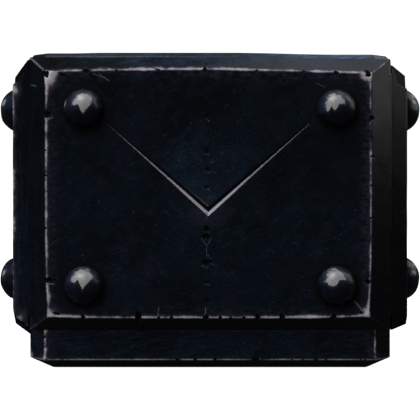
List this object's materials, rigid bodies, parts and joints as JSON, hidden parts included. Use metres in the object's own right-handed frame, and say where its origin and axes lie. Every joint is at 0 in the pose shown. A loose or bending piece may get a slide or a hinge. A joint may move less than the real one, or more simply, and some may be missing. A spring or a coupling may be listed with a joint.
{
  "type": "armoured gauntlet forearm cuff",
  "caption": "Square forearm cuff of blackened iron: a tube with bevelled plates on its sides, held by domed rivets, with a chased V in front.",
  "frame": {"origin": "middle of the plane of the lower rim, which the cuff stands on", "axes": "+Z along the forearm from the turned-in lower mouth to the upper rim; -Y towards the plate with the chased V; +X to the right as that plate is seen"},
  "size_m": [0.1574, 0.1576, 0.1141],
  "materials": {
    "sleeve_iron": "blackened, satin, worn bright on its edges",
    "plate_iron": "blackened, satin, scratched, worn bright on its edges",
    "rivet_iron": "blackened, polished on the crown of each dome"
  },
  "bodies": {
    "root": {"sleeve": "sleeve_iron", "plate_front": "plate_iron", "plate_right": "plate_iron", "plate_back": "plate_iron", "plate_left": "plate_iron", "rivet_front_lower_left": "rivet_iron", "rivet_front_lower_right": "rivet_iron", "rivet_front_upper_left": "rivet_iron", "rivet_front_upper_right": "rivet_iron", "rivet_right_lower_left": "rivet_iron", "rivet_right_lower_right": "rivet_iron", "rivet_right_upper_left": "rivet_iron", "rivet_right_upper_right": "rivet_iron", "rivet_back_lower_left": "rivet_iron", "rivet_back_lower_right": "rivet_iron", "rivet_back_upper_left": "rivet_iron", "rivet_back_upper_right": "rivet_iron", "rivet_left_lower_left": "rivet_iron", "rivet_left_lower_right": "rivet_iron", "rivet_left_upper_left": "rivet_iron", "rivet_left_upper_right": "rivet_iron"}
  },
  "joints": []
}
